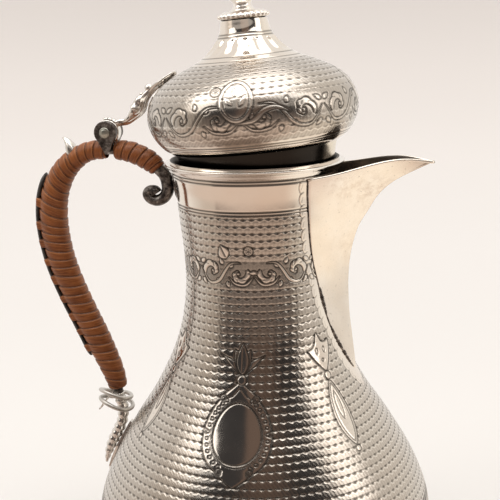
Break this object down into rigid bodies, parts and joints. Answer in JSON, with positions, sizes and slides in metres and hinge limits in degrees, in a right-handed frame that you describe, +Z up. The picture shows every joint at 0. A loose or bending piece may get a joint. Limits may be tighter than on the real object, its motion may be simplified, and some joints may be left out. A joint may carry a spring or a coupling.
{
  "type": "dallah coffee pot",
  "caption": "Silver dallah coffee pot: pear-shaped engraved body, beak spout, hinged bulbous lid with finial, arched cane-wrapped handle.",
  "frame": {"origin": "centre of the flat underside of the base, on the body's axis", "axes": "+Z up along the body's axis, +X towards the spout, -X towards the handle, the lid's hinge axis runs along Y"},
  "size_m": [0.17, 0.1438, 0.2689],
  "materials": {
    "engraved_silver": "hand-engraved silver, rows of hammered waves and scrolls",
    "polished_silver": "plain polished silver, softly worn",
    "oxidised_silver": "dark tarnished silver",
    "cane_lapping": "split cane lapped in flat overlapping turns",
    "black_slip": "stiff black slip, satin",
    "binding_wire": "dull grey wire"
  },
  "bodies": {
    "pot": {"body_shell": "engraved_silver", "rim_collar": "polished_silver", "base_plate": "polished_silver", "foot_ring": "polished_silver", "spout_beak": "polished_silver", "hinge_ear_near": "oxidised_silver", "hinge_ear_far": "oxidised_silver", "hinge_pin": "polished_silver", "handle_core": "oxidised_silver", "handle_pad_upper": "oxidised_silver", "handle_pad_lower": "polished_silver", "handle_bracket": "polished_silver", "bracket_leaf": "polished_silver", "thumb_spur": "polished_silver", "cane_wrap_neck": "cane_lapping", "cane_wrap_arch": "cane_lapping", "cane_wrap_grip": "cane_lapping", "black_slip": "black_slip", "binding_wire_upper": "binding_wire", "binding_wire_lower": "binding_wire"},
    "lid": {"lid_dome": "engraved_silver", "lid_bezel": "oxidised_silver", "finial_collar": "polished_silver", "finial_bud": "polished_silver", "finial_washer": "polished_silver", "lid_arm": "polished_silver", "lid_arm_pad": "polished_silver"}
  },
  "joints": [
    {"name": "lid_hinge", "type": "hinge", "parent": "pot", "child": "lid", "pos_m": [-0.0624, 0, 0.1964], "axis": [0, -1, 0], "range_deg": [-4.2, 96]}
  ]
}
